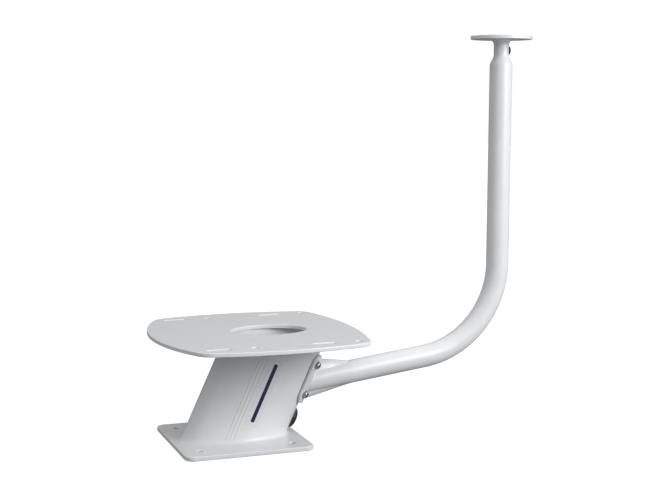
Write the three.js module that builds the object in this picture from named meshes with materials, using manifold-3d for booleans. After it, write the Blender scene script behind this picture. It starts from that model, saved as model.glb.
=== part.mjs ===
// Radar mounting tower with a swept antenna arm.
// Millimetres, +Z up. The origin is the centre of the base plate's underside.
// +X points aft, the way the tower leans and the arm reaches; the object is symmetric about Y = 0.
import * as THREE from 'three';
import { mergeVertices } from 'three/addons/utils/BufferGeometryUtils.js';
import Module from 'manifold-3d';

const wasm = await Module();
wasm.setup();

const deg = THREE.MathUtils.degToRad;

// ---------- driving dimensions ----------
const GAP = 0.3;                     // air kept between touching pieces
const OPEN = 1;                      // how far a cutting tool runs past what it cuts
const PLATE_EASE = 0.8;              // bevel along the edges of both plates
const BAR = { from: -80, length: 320 };   // a bar along the lean that passes both plates
const WIDER = 800;                   // wider than the whole object

const HEIGHT = 150;                  // deck to radar face
const LEAN = deg(24.5);              // the column's lean aft

const BASE = { length: 177, width: 181, thick: 6, corner: 13, bolt: 64, boltR: 4.5, cableX: 34, cableR: 24 };

const TOP = {
  thick: 5.5, front: -112.5, aft: 170.1,
  frontCorner: [-75.8, 135.3], aftCorner: [150.2, 133.4], sideBulge: 15,
  frontCut: 14, aftCut: 13,
  hole: { x: 51.5, a: 53, b: 37.5 },
  rowY: 118, slotW: 7.5, slots: [-51.5, 90.5], slotLength: 33, holes: [-3.5, 138.5], holeR: 4.8,
};

// column extrusion: arcs of the profile square to its length, x forward to aft, wall inwards
const COLUMN = { noseX: -35, noseR: 34, aftX: 31, aftR: 34, sideR: 93.5, wall: 3.5 };
// three thin grooves in each side, with the profile's plain points aft and forward of them
const GROOVE = { xs: [-17, -21.8, -26.6], width: 1.7, depth: 0.7, aftXs: [12, 3, -6, -13], forwardX: -33 };
const PROFILE_STEPS = { round: 9, side: 8 };

// fillet round the column: its hollow face runs through fractions of the leg and the rise
const WELD = { leg: 4.6, rise: 4.2, hollow: [[0.55, 0.24], [0.28, 0.55]], lip: 0.4 };

const LABEL = { from: -11, to: 7, low: 30, high: 126, thick: 0.4, reach: 30 };

const FOOT = {
  s: 117,                            // centre of the foot, along the lean
  length: 71, halfAngle: deg(55), corner: 12,
  gasket: 0.8, gasketTrim: 0.8, flange: 3.6,
  boltAngle: deg(41), boltSpacing: 43.4,
  webSink: 6, webS: 110.7, webHigh: 33.4, webWide: 11,   // root of the web: its depth, centre and half sizes
  webSides: 24, socketBack: 100,     // the socket runs back past the column's wall
  wireR: 10, wallHoleR: 12,
  spigotR: 13.2, spigotLength: 24,
};

const BOLT = {
  shankR: 3, clearR: 3.4, headR: 5.1, headH: 3.8, socketR: 2.3, socketDepth: 2.2,
  button: [[1, 0.3], [0.86, 0.68], [0.52, 0.94]],   // the head's round, as fractions of headR and headH
  washerR: 6, washerT: 1.2, nutAcross: 10, nutH: 5, tail: 1.4,
  innerSeat: 1.2,                    // room for a flat washer in the round bore
};

const ARM = {
  outerR: 16.2, wall: 2.7, slope: Math.atan(0.128), riseAtZero: 61.1,
  x: 401.4, bendR: 132, startX: 172, top: 515.2, steps: 36, sides: 20,
};

const NECK = {
  r: 10.7, wall: 2.7, coneTop: 527, spigotR: 13.2, spigotLength: 20, joinR: 7.6, joinLength: 2.5, wireR: 5.5,
  footEase: { in: 0.4, up: 1.2 }, topEase: { out: 0.6, down: 1 },
  weldLeg: 8, weldRise: 8, weldLip: 0.4, weldTurns: [0.2, 0.4, 0.6, 0.8],
};
const DISC = { r: 43.9, thick: 5, top: 556, edge: 0.7 };

const LOWER_GROMMET = { s: 57, r: 15.5, proud: 5, stemR: 11.7, holeR: 12, lipR: 14.3, lipT: 2.4 };
const NECK_GROMMET = { z: 535.6, r: 6.6, proud: 2.3, stemR: 4.2, holeR: 4.5, lipR: 5.2, lipT: 1.2 };
// a grommet's dome, as fractions of its radius and of how proud it stands
const DOME = {
  skirt: 0.4, round: [[1, -0.2], [0.94, 0.35], [0.72, 0.78], [0.4, 0.96]], stemTop: 0.3, lipRoom: 0.15,
};

// ---------- materials ----------
const finish = (color, roughness, metalness = 0) =>
  new THREE.MeshStandardMaterial({ color, roughness, metalness });
const paint = () => finish(0xe9eaec, 0.3);
const steel = () => finish(0xa9abad, 0.3, 1);
const rubber = () => finish(0x1b1c1e, 0.6);
const gasketRubber = () => finish(0x77797b, 0.7);
const vinyl = () => finish(0xdfe0ea, 0.25);

// ---------- solids ----------
// A closed three.js geometry as a solid, with its seams merged.
function solid(geometry) {
  const bare = geometry.clone();
  bare.deleteAttribute('normal');
  bare.deleteAttribute('uv');
  const merged = mergeVertices(bare, 1e-4);
  return new wasm.Manifold(new wasm.Mesh({
    numProp: 3,
    vertProperties: new Float32Array(merged.attributes.position.array),
    triVerts: new Uint32Array(merged.index.array),
  }));
}

function geometryOf(manifold) {
  const mesh = manifold.getMesh();
  const geometry = new THREE.BufferGeometry();
  geometry.setAttribute('position', new THREE.BufferAttribute(new Float32Array(mesh.vertProperties), 3));
  geometry.setIndex(new THREE.BufferAttribute(new Uint32Array(mesh.triVerts), 1));
  geometry.computeVertexNormals();
  return geometry;
}

const prism = (shape, depth, curveSegments = 12) =>
  new THREE.ExtrudeGeometry(shape, { depth, bevelEnabled: false, curveSegments });

// A cylinder along +Z from z0 to z1.
function rod(r, z0, z1, sides = 24) {
  return new THREE.CylinderGeometry(r, r, z1 - z0, sides).rotateX(Math.PI / 2).translate(0, 0, (z0 + z1) / 2);
}

// A body turned about Z from (radius, z) pairs that start and end on the axis or close on themselves.
function turned(pairs, sides = 24) {
  return new THREE.LatheGeometry(pairs.map(([r, z]) => new THREE.Vector2(r, z)), sides).rotateX(Math.PI / 2);
}

function roundedRectangle(length, width, r) {
  const shape = new THREE.Shape();
  const [x, y] = [length / 2 - r, width / 2 - r];
  shape.absarc(x, y, r, 0, Math.PI / 2);
  shape.absarc(-x, y, r, Math.PI / 2, Math.PI);
  shape.absarc(-x, -y, r, Math.PI, Math.PI * 1.5);
  shape.absarc(x, -y, r, Math.PI * 1.5, Math.PI * 2);
  return shape;
}

function disc(x, y, r) {
  return new THREE.Shape().absarc(x, y, r, 0, Math.PI * 2);
}

function slot(x, y, length, width) {
  const shape = new THREE.Shape();
  const [half, r] = [(length - width) / 2, width / 2];
  shape.absarc(x + half, y, r, -Math.PI / 2, Math.PI / 2);
  shape.absarc(x - half, y, r, Math.PI / 2, Math.PI * 1.5);
  return shape;
}

// A plate with eased edges, standing on z0, with openings cut through it; the first is the largest.
function plate(outline, openings, thick, z0) {
  const ease = PLATE_EASE;
  const blank = new THREE.ExtrudeGeometry(outline, {
    depth: thick - 2 * ease, bevelThickness: ease, bevelSize: ease, bevelOffset: -ease,
    bevelSegments: 1, curveSegments: 6,
  });
  let body = solid(blank.translate(0, 0, z0 + ease));
  for (const opening of openings) {
    const cutter = prism(opening, thick + 2 * OPEN, opening === openings[0] ? 18 : 6);
    body = body.subtract(solid(cutter.translate(0, 0, z0 - OPEN)));
  }
  return body;
}

// ---------- frames ----------
// In the lean frame X is square to the column's aft side, Y is the object's Y and Z runs up the lean.
const leanFrame = new THREE.Matrix4().makeRotationY(LEAN);

// A frame on the aft round of the column: +Z points out of it, +X runs along Y, angle from straight aft.
function aftFrame(angle, s) {
  const out = new THREE.Vector3(Math.cos(angle), Math.sin(angle), 0);
  const along = new THREE.Vector3(-Math.sin(angle), Math.cos(angle), 0);
  const frame = new THREE.Matrix4().makeBasis(along, new THREE.Vector3(0, 0, 1), out);
  return leanFrame.clone().multiply(new THREE.Matrix4().makeTranslation(COLUMN.aftX, 0, s)).multiply(frame);
}

// ---------- column profile ----------
// Points of the profile, grown outwards by `grow`: nose round, flat side arcs and aft round.
function profilePoints(grow, withGrooves = false) {
  const { noseX, noseR, aftX, aftR, sideR } = COLUMN;
  const span = aftX - noseX;
  const [toNose, toAft] = [sideR - noseR, sideR - aftR];
  const sideX = noseX + (toNose ** 2 - toAft ** 2 + span ** 2) / (2 * span);
  const sideY = -Math.sqrt(toNose ** 2 - (sideX - noseX) ** 2);
  const aftAngle = Math.atan2(-sideY, aftX - sideX);
  const noseAngle = Math.atan2(-sideY, noseX - sideX);
  const half = [];
  const arc = (x, y, r, from, to, steps) => {
    for (let i = 0; i < steps; i += 1) {
      const a = from + ((to - from) * i) / steps;
      half.push([x + (r + grow) * Math.cos(a), y + (r + grow) * Math.sin(a)]);
    }
  };
  arc(aftX, 0, aftR, 0, aftAngle, PROFILE_STEPS.round);
  if (withGrooves) {
    const edge = (x) => sideY + Math.sqrt((sideR + grow) ** 2 - (x - sideX) ** 2);
    for (const x of GROOVE.aftXs) half.push([x, edge(x)]);
    for (const x of GROOVE.xs) {
      half.push([x + GROOVE.width / 2, edge(x + GROOVE.width / 2)]);
      half.push([x + GROOVE.width / 4, edge(x) - GROOVE.depth]);
      half.push([x - GROOVE.width / 4, edge(x) - GROOVE.depth]);
      half.push([x - GROOVE.width / 2, edge(x - GROOVE.width / 2)]);
    }
    half.push([GROOVE.forwardX, edge(GROOVE.forwardX)]);
  } else {
    arc(sideX, sideY, sideR, aftAngle, noseAngle, PROFILE_STEPS.side);
  }
  arc(noseX, 0, noseR, noseAngle, Math.PI, PROFILE_STEPS.round);
  const nose = [noseX - noseR - grow, 0];
  const mirrored = half.slice(1).reverse().map(([x, y]) => [x, -y]);
  return [...half, nose, ...mirrored].map(([x, y]) => new THREE.Vector2(x, y));
}

// The profile as a solid bar along the lean, long enough to pass both plates.
function columnBar(grow, withGrooves = false) {
  const shape = new THREE.Shape(profilePoints(grow, withGrooves));
  const bar = prism(shape, BAR.length).translate(0, 0, BAR.from);
  return solid(bar.applyMatrix4(leanFrame));
}

function slab(z0, z1) {
  return solid(new THREE.BoxGeometry(WIDER, WIDER, z1 - z0).translate(0, 0, (z0 + z1) / 2));
}

// ---------- plates ----------
function basePlate() {
  const openings = [disc(BASE.cableX, 0, BASE.cableR)];
  for (const x of [-BASE.bolt, BASE.bolt]) {
    for (const y of [-BASE.bolt, BASE.bolt]) openings.push(disc(x, y, BASE.boltR));
  }
  return plate(roundedRectangle(BASE.length, BASE.width, BASE.corner), openings, BASE.thick, 0);
}

// The arc from a to b that bulges by `bulge` to the left of a -> b, cut short at both ends.
function bulgedArc(shape, a, b, bulge, cutA, cutB) {
  const chord = a.distanceTo(b);
  const radius = (chord ** 2 / 4 + bulge ** 2) / (2 * bulge);
  const middle = a.clone().add(b).multiplyScalar(0.5);
  const left = new THREE.Vector2(a.y - b.y, b.x - a.x).normalize();
  const centre = middle.addScaledVector(left, bulge - radius);
  const from = Math.atan2(a.y - centre.y, a.x - centre.x);
  const to = Math.atan2(b.y - centre.y, b.x - centre.x);
  const turn = Math.atan2(Math.sin(to - from), Math.cos(to - from));
  const sign = Math.sign(turn);
  const first = from + (sign * cutA) / radius;
  const last = from + turn - (sign * cutB) / radius;
  shape.absarc(centre.x, centre.y, radius, first, last, sign < 0);
}

// Radar plate outline: four bulged sides between four rounded corners.
function topOutline() {
  const corner = ([x, y], side) => new THREE.Vector2(x, side * y);
  const corners = [
    { at: corner(TOP.frontCorner, 1), cut: TOP.frontCut, bulge: TOP.sideBulge },
    { at: corner(TOP.aftCorner, 1), cut: TOP.aftCut, bulge: TOP.aft - TOP.aftCorner[0] },
    { at: corner(TOP.aftCorner, -1), cut: TOP.aftCut, bulge: TOP.sideBulge },
    { at: corner(TOP.frontCorner, -1), cut: TOP.frontCut, bulge: TOP.frontCorner[0] - TOP.front },
  ];
  const shape = new THREE.Shape();
  corners.forEach((start, i) => {
    const end = corners[(i + 1) % corners.length];
    bulgedArc(shape, start.at, end.at, start.bulge, start.cut, end.cut);
    const after = corners[(i + 2) % corners.length];
    const next = new THREE.Shape();
    bulgedArc(next, end.at, after.at, end.bulge, end.cut, after.cut);
    const landing = next.getPoint(0);
    shape.quadraticCurveTo(end.at.x, end.at.y, landing.x, landing.y);
  });
  return shape;
}

function topPlate() {
  const { x, a, b } = TOP.hole;
  const openings = [new THREE.Shape().absellipse(x, 0, a, b, 0, Math.PI * 2)];
  for (const y of [-TOP.rowY, TOP.rowY]) {
    for (const slotX of TOP.slots) openings.push(slot(slotX, y, TOP.slotLength, TOP.slotW));
    for (const holeX of TOP.holes) openings.push(disc(holeX, y, TOP.holeR));
  }
  return plate(topOutline(), openings, TOP.thick, HEIGHT - TOP.thick);
}

// ---------- column and its welds ----------
const columnFoot = BASE.thick + GAP;
const columnHead = HEIGHT - TOP.thick - GAP;

function towerColumn() {
  const { aftR, wall } = COLUMN;
  const outer = aftR + OPEN;
  const inner = aftR - wall - 3 * OPEN;
  const shell = columnBar(0, true).subtract(columnBar(-wall)).intersect(slab(columnFoot, columnHead));
  return cutBoltHoles(shell, inner, outer, BOLT.clearR)
    .subtract(solid(rod(FOOT.wallHoleR, aftR / 2, outer).applyMatrix4(aftFrame(0, FOOT.s))))
    .subtract(solid(rod(LOWER_GROMMET.holeR, aftR / 2, outer).applyMatrix4(aftFrame(0, LOWER_GROMMET.s))));
}

// A fillet bead swept round the column; its section pairs a distance from the column with a height.
function weldBead(plateZ, up) {
  const { leg, rise, hollow, lip } = WELD;
  const face = hollow.map(([along, height]) => [leg * along, rise * height]);
  const section = [[GAP, 0], [leg, 0], ...face, [GAP + lip, rise], [GAP, rise]];
  const rings = section.map(([grow, height]) => {
    const z = plateZ + up * (GAP + height);
    const levelX = (x) => x / Math.cos(LEAN) + z * Math.tan(LEAN);
    return profilePoints(grow).map((p) => new THREE.Vector3(levelX(p.x), p.y, z));
  });
  const count = rings[0].length;
  const positions = rings.flat().flatMap((p) => [p.x, p.y, p.z]);
  const faces = [];
  rings.forEach((ring, k) => {
    const next = (k + 1) % rings.length;
    for (let i = 0; i < count; i += 1) {
      const j = (i + 1) % count;
      const [a, b, c, d] = [k * count + i, k * count + j, next * count + j, next * count + i];
      faces.push(...(up > 0 ? [a, b, c, a, c, d] : [a, c, b, a, d, c]));
    }
  });
  const geometry = new THREE.BufferGeometry();
  geometry.setAttribute('position', new THREE.Float32BufferAttribute(positions, 3));
  geometry.setIndex(faces);
  geometry.computeVertexNormals();
  return geometry;
}

// ---------- side labels ----------
function sideLabel(side) {
  const shell = columnBar(GAP + LABEL.thick).subtract(columnBar(GAP));
  const window = new THREE.BoxGeometry(LABEL.to - LABEL.from, LABEL.reach, LABEL.high - LABEL.low);
  window.translate((LABEL.to + LABEL.from) / 2, side * COLUMN.aftR, (LABEL.high + LABEL.low) / 2);
  return shell.intersect(solid(window.applyMatrix4(leanFrame)));
}

// ---------- arm foot ----------
const armDirection = new THREE.Vector3(Math.cos(ARM.slope), 0, Math.sin(ARM.slope));
const onArm = (x) => new THREE.Vector3(x, 0, ARM.riseAtZero + x * Math.tan(ARM.slope));
const armStart = onArm(ARM.startX);

// +Z runs out along the arm from `at`.
function armFrame(at) {
  const side = new THREE.Vector3(0, 1, 0);
  const across = new THREE.Vector3().crossVectors(side, armDirection);
  return new THREE.Matrix4().makeBasis(across, side, armDirection).setPosition(at);
}

function boltStations() {
  return [FOOT.s - FOOT.boltSpacing / 2, FOOT.s + FOOT.boltSpacing / 2];
}

// The part of the round shell between radii r0 and r1 that lies under the saddle's outline.
function saddleShell(r0, r1, trim = 0) {
  const sector = new THREE.Shape();
  const half = FOOT.halfAngle;
  sector.absarc(COLUMN.aftX, 0, r1, -half, half);
  sector.absarc(COLUMN.aftX, 0, r0, half, -half, true);
  const bar = solid(prism(sector, BAR.length, 8).applyMatrix4(leanFrame));
  const halfWide = r1 * Math.sin(half) + OPEN;
  const outline = roundedRectangle(FOOT.length - 2 * trim, 2 * (halfWide - trim), FOOT.corner);
  const window = prism(outline, WIDER, 3).applyMatrix4(new THREE.Matrix4().makeRotationY(-Math.PI / 2));
  window.translate(WIDER, 0, FOOT.s);
  return bar.intersect(solid(window.applyMatrix4(leanFrame)));
}

function cutBoltHoles(body, r0, r1, holeR) {
  let cut = body;
  for (const angle of [-FOOT.boltAngle, FOOT.boltAngle]) {
    for (const s of boltStations()) {
      cut = cut.subtract(solid(rod(holeR, r0, r1, 16).applyMatrix4(aftFrame(angle, s))));
    }
  }
  return cut;
}

const gasketR0 = COLUMN.aftR + GAP;
const gasketR1 = gasketR0 + FOOT.gasket;
const flangeR0 = gasketR1 + GAP;
const flangeR1 = flangeR0 + FOOT.flange;

function armGasket() {
  const [inner, outer] = [gasketR0 - 4 * OPEN, gasketR1 + 4 * OPEN];
  const sheet = cutBoltHoles(saddleShell(gasketR0, gasketR1, FOOT.gasketTrim), inner, outer, BOLT.clearR);
  const wireHole = rod(FOOT.wallHoleR, inner - FOOT.wallHoleR, outer).applyMatrix4(aftFrame(0, FOOT.s));
  return sheet.subtract(solid(wireHole));
}

// The web of the foot: straight sided, lofted from a tall ellipse on the saddle to the round of the arm.
function footWeb() {
  const sides = FOOT.webSides;
  const root = new THREE.Vector3(COLUMN.aftX + flangeR0 - FOOT.webSink, 0, FOOT.webS).applyMatrix4(leanFrame);
  const rootNormal = new THREE.Vector3(1, 0, 0).applyMatrix4(leanFrame);
  const ends = [
    { centre: root, normal: rootNormal, high: FOOT.webHigh, wide: FOOT.webWide },
    { centre: armStart, normal: armDirection, high: ARM.outerR, wide: FOOT.webWide },
  ];
  const rings = ends.map(({ centre, normal, high, wide }) => {
    const up = new THREE.Vector3().crossVectors(normal, new THREE.Vector3(0, 1, 0));
    return Array.from({ length: sides }, (_, i) => {
      const a = (i / sides) * Math.PI * 2;
      const p = centre.clone().addScaledVector(up, high * Math.cos(a));
      p.y += wide * Math.sin(a);
      return p;
    });
  });
  const faces = [];
  for (let i = 0; i < sides; i += 1) {
    const j = (i + 1) % sides;
    faces.push(i, sides + i, j, j, sides + i, sides + j);
  }
  for (let i = 1; i < sides - 1; i += 1) {
    faces.push(0, i, i + 1);
    faces.push(sides, sides + i + 1, sides + i);
  }
  const geometry = new THREE.BufferGeometry();
  const positions = rings.flat().flatMap((p) => [p.x, p.y, p.z]);
  geometry.setAttribute('position', new THREE.Float32BufferAttribute(positions, 3));
  geometry.setIndex(faces);
  return geometry;
}

// Saddle, socket and web as one casting, with a spigot into the tube and a bore for the wires.
function armFoot() {
  const frame = armFrame(armStart);
  const behind = FOOT.socketBack;
  const socket = solid(rod(ARM.outerR, -behind, 0, 32).applyMatrix4(frame));
  const spigot = solid(rod(FOOT.spigotR, -GAP, FOOT.spigotLength, 32).applyMatrix4(frame));
  const body = solid(footWeb()).add(socket).subtract(columnBar(flangeR0 - COLUMN.aftR));
  const casting = saddleShell(flangeR0, flangeR1).add(body).add(spigot);
  const foot = cutBoltHoles(casting, gasketR0 - 4 * OPEN, flangeR1 + OPEN, BOLT.clearR);
  return foot.subtract(solid(rod(FOOT.wireR, -behind - OPEN, FOOT.spigotLength + OPEN).applyMatrix4(frame)));
}

// ---------- fasteners, each along +Z with its seat at z = 0 ----------
function boltSolid(gripLength) {
  const { headR, headH, shankR, socketR, socketDepth, button } = BOLT;
  const round = button.map(([across, up]) => [headR * across, headH * up]);
  const head = solid(turned([[0, 0], [headR, 0], ...round, [0, headH]]));
  const shank = solid(rod(shankR, -gripLength, OPEN, 16));
  const socket = solid(rod(socketR, headH - socketDepth, headH + OPEN, 6));
  return head.add(shank).subtract(socket);
}

function washerSolid() {
  const { washerR, clearR, washerT } = BOLT;
  return solid(rod(washerR, 0, washerT)).subtract(solid(rod(clearR, -OPEN, washerT + OPEN, 16)));
}

function nutSolid() {
  const { nutAcross, nutH, clearR } = BOLT;
  const corner = nutAcross / Math.sqrt(3);
  return solid(rod(corner, 0, nutH, 6)).subtract(solid(rod(clearR, -OPEN, nutH + OPEN, 16)));
}

// ---------- arm tube ----------
// Centre line: up the low run, round the bend and straight up.
function armPath() {
  const turn = Math.PI / 2 - ARM.slope;
  const corner = onArm(ARM.x);
  const tangent = ARM.bendR * Math.tan(turn / 2);
  const bendStart = corner.clone().addScaledVector(armDirection, -tangent);
  const bendEnd = corner.clone().add(new THREE.Vector3(0, 0, tangent));
  const centre = new THREE.Vector3(ARM.x - ARM.bendR, 0, bendEnd.z);
  class Bend extends THREE.Curve {
    getPoint(t, target = new THREE.Vector3()) {
      const a = -turn * (1 - t);
      return target.set(centre.x + ARM.bendR * Math.cos(a), 0, centre.z + ARM.bendR * Math.sin(a));
    }
  }
  const path = new THREE.CurvePath();
  path.add(new THREE.LineCurve3(armStart.clone().addScaledVector(armDirection, GAP), bendStart));
  path.add(new Bend());
  path.add(new THREE.LineCurve3(bendEnd, new THREE.Vector3(ARM.x, 0, ARM.top)));
  return path;
}

function armTube() {
  const ring = disc(0, 0, ARM.outerR);
  ring.holes.push(disc(0, 0, ARM.outerR - ARM.wall));
  const { steps, sides } = ARM;
  return new THREE.ExtrudeGeometry(ring, { extrudePath: armPath(), steps, curveSegments: sides / 2 });
}

// ---------- neck and disc, turned about the arm's upright axis ----------
const coneFoot = ARM.top + GAP;
const discUnder = DISC.top - DISC.thick;

function neckReducer() {
  const { r, coneTop, spigotR, spigotLength, joinR, joinLength, wireR, footEase, topEase } = NECK;
  const bottom = coneFoot - spigotLength;
  return turned([
    [wireR, bottom], [spigotR, bottom], [spigotR, coneFoot], [ARM.outerR, coneFoot],
    [ARM.outerR - footEase.in, coneFoot + footEase.up], [r + topEase.out, coneTop - topEase.down],
    [r, coneTop], [joinR, coneTop], [joinR, coneTop + joinLength], [wireR, coneTop + joinLength],
    [wireR, bottom],
  ]);
}

function neckPipe() {
  const { r, wall, coneTop } = NECK;
  const [low, high] = [coneTop + GAP, discUnder - GAP];
  const pipe = solid(turned([[r - wall, low], [r, low], [r, high], [r - wall, high], [r - wall, low]]));
  const side = new THREE.Matrix4().makeRotationY(Math.PI / 2).setPosition(0, 0, NECK_GROMMET.z);
  return pipe.subtract(solid(rod(NECK_GROMMET.holeR, 0, r + OPEN, 20).applyMatrix4(side)));
}

// The concave fillet between the neck and the underside of the disc.
function neckWeld() {
  const { r, weldLeg, weldRise, weldLip, weldTurns } = NECK;
  const root = r + GAP;
  const lip = root + weldLip;
  const top = discUnder - GAP;
  const curve = weldTurns.map((t) => {
    const a = (t * Math.PI) / 2;
    return [lip + weldLeg * (1 - Math.cos(a)), top - weldRise * (1 - Math.sin(a))];
  });
  const bottom = top - weldRise;
  return turned([[root, bottom], [lip, bottom], ...curve, [lip + weldLeg, top], [root, top], [root, bottom]]);
}

function antennaDisc() {
  const { r, thick, top, edge } = DISC;
  const low = top - thick;
  return turned([[0, low], [r - edge, low], [r, low + edge], [r, top - edge], [r - edge, top], [0, top]], 48);
}

// ---------- grommets ----------
// A dome outside a round wall of radius wallR, a stem through the wall and a lip inside it.
// +Z points out of the wall. `outside` and `inside` are the wall's two rounds, each a gap away from the wall.
function grommet(size, wallR, wallT, outside, inside) {
  const { r, proud, stemR, lipR, lipT } = size;
  const skirt = wallR - r * DOME.skirt;
  const round = DOME.round.map(([across, up]) => [r * across, wallR + proud * up]);
  const dome = solid(turned([[0, skirt], [r, skirt], ...round, [0, wallR + proud]])).subtract(outside);
  const lipLow = wallR - wallT - lipT;
  const stem = solid(rod(stemR, lipLow, wallR + proud * DOME.stemTop));
  const lip = solid(rod(lipR, lipLow - r * DOME.lipRoom, wallR)).intersect(inside);
  return dome.add(stem).add(lip);
}

// A solid bar of radius r across the grommet's frame, standing for the wall's round.
function wallBar(r, alongX) {
  const bar = new THREE.CylinderGeometry(r, r, WIDER, 48);
  return solid(alongX ? bar.rotateZ(Math.PI / 2) : bar);
}

function lowerGrommet() {
  const { aftR, wall } = COLUMN;
  return grommet(LOWER_GROMMET, aftR, wall, wallBar(aftR + GAP, false), wallBar(aftR - wall - GAP, false));
}

function neckGrommet() {
  const { r, wall } = NECK;
  return grommet(NECK_GROMMET, r, wall, wallBar(r + GAP, true), wallBar(r - wall - GAP, true));
}

// ---------- assembly ----------
const assembly = new THREE.Group();

function place(name, shape, material, matrix) {
  const geometry = shape.isBufferGeometry ? shape : geometryOf(shape);
  const mesh = new THREE.Mesh(geometry, material);
  mesh.name = name;
  if (matrix) {
    mesh.matrix.copy(matrix);
    mesh.matrix.decompose(mesh.position, mesh.quaternion, mesh.scale);
  }
  assembly.add(mesh);
}

place('base_plate', basePlate(), paint());
place('base_weld', weldBead(BASE.thick, 1), paint());
place('tower_column', towerColumn(), paint());
place('top_weld', weldBead(HEIGHT - TOP.thick, -1), paint());
place('radar_plate', topPlate(), paint());
place('near_side_label', sideLabel(-1), vinyl());
place('far_side_label', sideLabel(1), vinyl());
place('column_grommet', lowerGrommet(), rubber(), aftFrame(0, LOWER_GROMMET.s));

place('arm_gasket', armGasket(), gasketRubber());
place('arm_foot', armFoot(), paint());
place('arm_tube', armTube(), paint());

const seatR = flangeR1 + GAP;
const headSeatR = seatR + BOLT.washerT + GAP;
const innerWasherR = COLUMN.aftR - COLUMN.wall - GAP - BOLT.innerSeat;
const nutR = innerWasherR - BOLT.washerT - GAP;
const tailR = nutR - BOLT.nutH - BOLT.tail;
const corners = [['near', -1], ['far', 1]].flatMap(([side, sign]) =>
  boltStations().map((s, i) => {
    const level = i ? 'upper' : 'lower';
    return { label: `${level}_${side}`, angle: sign * FOOT.boltAngle, s };
  }));
for (const { label, angle, s } of corners) {
  const at = (r) => aftFrame(angle, s).multiply(new THREE.Matrix4().makeTranslation(0, 0, r));
  place(`foot_bolt_${label}`, boltSolid(headSeatR - tailR), steel(), at(headSeatR));
  place(`foot_washer_${label}`, washerSolid(), steel(), at(seatR));
  place(`inner_washer_${label}`, washerSolid(), steel(), at(innerWasherR - BOLT.washerT));
  place(`foot_nut_${label}`, nutSolid(), steel(), at(nutR - BOLT.nutH));
}

const upright = new THREE.Matrix4().makeTranslation(ARM.x, 0, 0);
const neckSide = new THREE.Matrix4().makeRotationY(Math.PI / 2).setPosition(ARM.x, 0, NECK_GROMMET.z);
place('neck_reducer', neckReducer(), paint(), upright);
place('neck_pipe', neckPipe(), paint(), upright);
place('neck_grommet', neckGrommet(), rubber(), neckSide);
place('neck_weld', neckWeld(), paint(), upright);
place('antenna_disc', antennaDisc(), paint(), upright);

export default assembly;
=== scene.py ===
"""Looks of the radar tower: fine surfaces, finishes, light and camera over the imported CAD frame.

Sizes are in millimetres in the part's own frame, and become metres when a mesh is made.
"""
import math

import bmesh
import bpy
from mathutils import Matrix, Vector
from mathutils.geometry import tessellate_polygon


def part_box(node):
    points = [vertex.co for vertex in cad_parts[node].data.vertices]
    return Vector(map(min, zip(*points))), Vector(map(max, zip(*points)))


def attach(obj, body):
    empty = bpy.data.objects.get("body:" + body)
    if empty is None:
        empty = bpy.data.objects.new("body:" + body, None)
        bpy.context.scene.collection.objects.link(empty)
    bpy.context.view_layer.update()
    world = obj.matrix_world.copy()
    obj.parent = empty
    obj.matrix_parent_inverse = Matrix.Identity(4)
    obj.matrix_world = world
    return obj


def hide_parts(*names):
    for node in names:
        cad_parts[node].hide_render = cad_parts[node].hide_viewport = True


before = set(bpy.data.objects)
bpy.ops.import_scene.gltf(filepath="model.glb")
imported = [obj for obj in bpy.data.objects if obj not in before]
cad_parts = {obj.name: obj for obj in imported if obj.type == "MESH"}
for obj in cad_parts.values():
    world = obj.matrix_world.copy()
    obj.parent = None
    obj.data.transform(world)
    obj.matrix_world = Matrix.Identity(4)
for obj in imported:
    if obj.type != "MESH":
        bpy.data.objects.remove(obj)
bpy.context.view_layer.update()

BODY = "root"
MM = 0.001                # metres in a millimetre


def node_box(node):
    """The lowest and the highest corner of a CAD node, in millimetres."""
    low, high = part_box(node)
    return low / MM, high / MM


# ---------- sizes read from the frame ----------
BASE_LOW, BASE_HIGH = node_box("base_plate")
PLATE_LOW, PLATE_HIGH = node_box("radar_plate")
DISC_LOW, DISC_HIGH = node_box("antenna_disc")
TUBE_HIGH = node_box("arm_tube")[1]

BASE_TOP = BASE_HIGH.z
PLATE_UNDER = PLATE_LOW.z
HEIGHT = PLATE_HIGH.z
ARM_X = (DISC_LOW.x + DISC_HIGH.x) / 2
TUBE_R = TUBE_HIGH.y
TUBE_TOP = TUBE_HIGH.z

# ---------- sizes chosen to match the CAD source ----------
SKIN = 0.15               # how far a surface sinks into its neighbour, so that no gap shows
MERGE = 0.002             # points nearer than this become one
LEAN = math.radians(24.5)

BASE_CORNER = 13
BASE_BOLT = 64
BASE_BOLT_R = 4.5
BASE_CABLE_X = 34
BASE_CABLE_R = 24
BASE_EDGE = 1.2           # radius of the plate's eased edges

FRONT_CORNER = (-75.8, 135.3)
AFT_CORNER = (150.2, 133.4)
SIDE_BULGE = 15
FRONT_CUT = 14
AFT_CUT = 13
CABLE_HOLE = (51.5, 53, 37.5)         # centre x and the two half axes
ROW_Y = 118
SLOT_XS = (-51.5, 90.5)
SLOT_LENGTH = 33
SLOT_WIDTH = 7.5
HOLE_XS = (-3.5, 138.5)
HOLE_R = 4.8
RADAR_EDGE = 1.1

NOSE_X = -35
NOSE_R = 34
AFT_X = 31
AFT_R = 34
SIDE_R = 93.5
WALL = 3.5
GROOVES = (-26.6, -21.8, -17)
GROOVE_WIDTH = 1.7
GROOVE_DEPTH = 0.7
ROUND_STEPS = 28          # points round the nose and round the aft end
SIDE_STEPS = 40           # points along a side without grooves
GROOVE_STEPS = 8          # points across each groove, and at that spacing along the side

WELD_LEG = 4.6
WELD_RISE = 4.2
WELD_WAVES = 96           # ripples round the bead, and how much each swells it
WELD_SWELL = 0.035

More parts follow.
